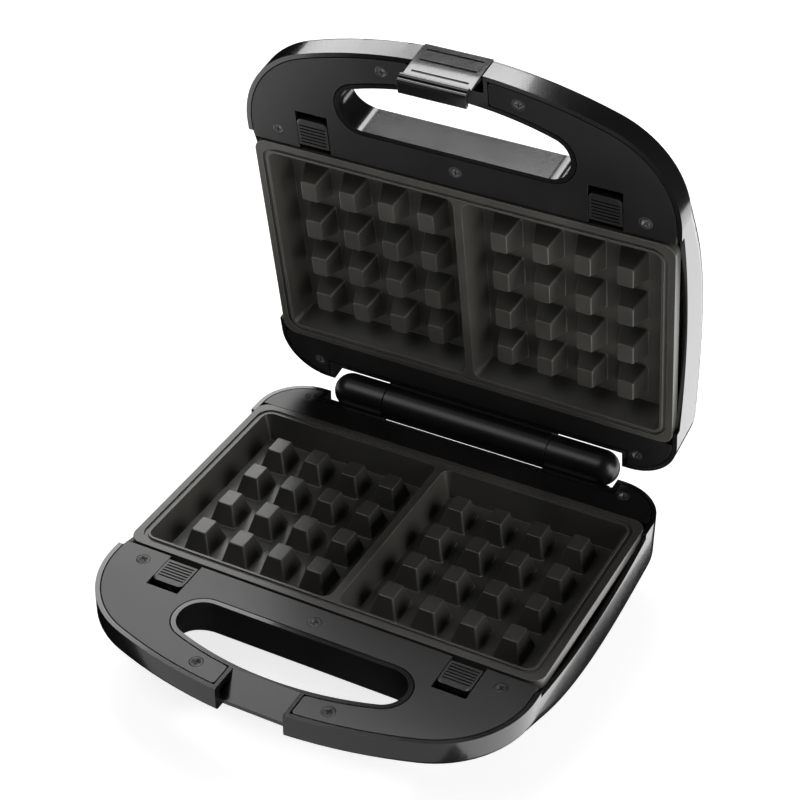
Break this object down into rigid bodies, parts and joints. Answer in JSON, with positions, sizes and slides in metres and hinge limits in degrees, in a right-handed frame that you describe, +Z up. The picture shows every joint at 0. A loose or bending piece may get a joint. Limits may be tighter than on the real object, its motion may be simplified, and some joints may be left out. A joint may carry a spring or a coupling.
{
  "type": "waffle maker",
  "caption": "Open electric waffle maker with ribbed release buttons, studded lift-out plates, a round hinge barrel and a snap latch on looped handles.",
  "frame": {"origin": "middle of the rectangle of the four feet, on the surface the appliance stands on", "axes": "+Z up, +Y from the handle towards the hinge, +X to the right of someone facing the handle; the hinge axis runs along X"},
  "size_m": [0.2344, 0.2701, 0.2849],
  "materials": {
    "gloss_housing": "polished moulded plastic",
    "satin_cover": "satin moulded plastic",
    "nonstick_plate": "satin non-stick coating on cast aluminium",
    "button_plastic": "satin moulded plastic",
    "spring_steel": "drawn wire",
    "black_screw": "blackened steel",
    "bright_steel": "plated steel",
    "pressed_aluminium": "pressed sheet",
    "element_sheath": "dull drawn tube",
    "black_rubber": "matt",
    "pale_plastic": "moulded",
    "wire_sleeve": "braided glass-fibre sleeve",
    "lamp_glass": "clear",
    "red_lens": "clear tinted",
    "green_lens": "clear tinted"
  },
  "bodies": {
    "base": {"base_wiring": "wire_sleeve", "cord_inlet": "black_rubber", "hinge_cap_left": "gloss_housing", "hinge_cap_right": "gloss_housing", "hinge_pin_left": "bright_steel", "hinge_pin_right": "bright_steel", "lower_button_spring_left": "spring_steel", "lower_button_spring_right": "spring_steel", "lower_cover_screws": "black_screw", "lower_element_cradles": "pressed_aluminium", "lower_handle_cover": "satin_cover", "lower_heat_pan": "pressed_aluminium", "lower_heating_element": "element_sheath", "lower_housing": "gloss_housing", "lower_pan_screws": "black_screw", "lower_plate_hooks": "bright_steel", "lower_rear_cover": "satin_cover", "lower_waffle_plate": "nonstick_plate", "rubber_feet": "black_rubber", "terminal_block": "pale_plastic", "thermal_fuse": "bright_steel"},
    "lid": {"green_lens": "green_lens", "hinge_barrel": "gloss_housing", "lamp_holder": "pale_plastic", "latch_pin": "bright_steel", "latch_spring": "spring_steel", "lid_wiring": "wire_sleeve", "neon_lamps": "lamp_glass", "red_lens": "red_lens", "thermostat": "bright_steel", "upper_button_spring_left": "spring_steel", "upper_button_spring_right": "spring_steel", "upper_cover_screws": "black_screw", "upper_element_cradles": "pressed_aluminium", "upper_handle_cover": "satin_cover", "upper_heat_pan": "pressed_aluminium", "upper_heating_element": "element_sheath", "upper_housing": "gloss_housing", "upper_pan_screws": "black_screw", "upper_plate_hooks": "bright_steel", "upper_rear_cover": "satin_cover", "upper_waffle_plate": "nonstick_plate"},
    "latch": {"latch_clip": "gloss_housing"},
    "lower_button_left": {"lower_button_left": "button_plastic"},
    "lower_button_right": {"lower_button_right": "button_plastic"},
    "upper_button_left": {"upper_button_left": "button_plastic"},
    "upper_button_right": {"upper_button_right": "button_plastic"}
  },
  "joints": [
    {"name": "lid_hinge", "type": "hinge", "parent": "base", "child": "lid", "pos_m": [0, 0.0984, 0.0466], "axis": [-1, 0, 0], "range_deg": [-79.2, 20.8]},
    {"name": "latch_hinge", "type": "hinge", "parent": "lid", "child": "latch", "pos_m": [0, 0.06398, 0.27825], "axis": [-1, 0, 0], "range_deg": [0, 28], "stiffness_Nm_per_rad": 0.03, "springref_deg": -28.65, "deforming": ["latch_spring"]},
    {"name": "lower_button_left_slide", "type": "slide", "parent": "base", "child": "lower_button_left", "axis": [0, -1, 0], "range_m": [0, 0.004], "stiffness_N_per_m": 300, "springref_m": -0.004, "deforming": ["lower_button_spring_left"]},
    {"name": "lower_button_right_slide", "type": "slide", "parent": "base", "child": "lower_button_right", "axis": [0, -1, 0], "range_m": [0, 0.004], "stiffness_N_per_m": 300, "springref_m": -0.004, "deforming": ["lower_button_spring_right"]},
    {"name": "upper_button_left_slide", "type": "slide", "parent": "lid", "child": "upper_button_left", "axis": [0, -0.1874, 0.9823], "range_m": [0, 0.004], "stiffness_N_per_m": 300, "springref_m": -0.004, "deforming": ["upper_button_spring_left"]},
    {"name": "upper_button_right_slide", "type": "slide", "parent": "lid", "child": "upper_button_right", "axis": [0, -0.1874, 0.9823], "range_m": [0, 0.004], "stiffness_N_per_m": 300, "springref_m": -0.004, "deforming": ["upper_button_spring_right"]}
  ]
}
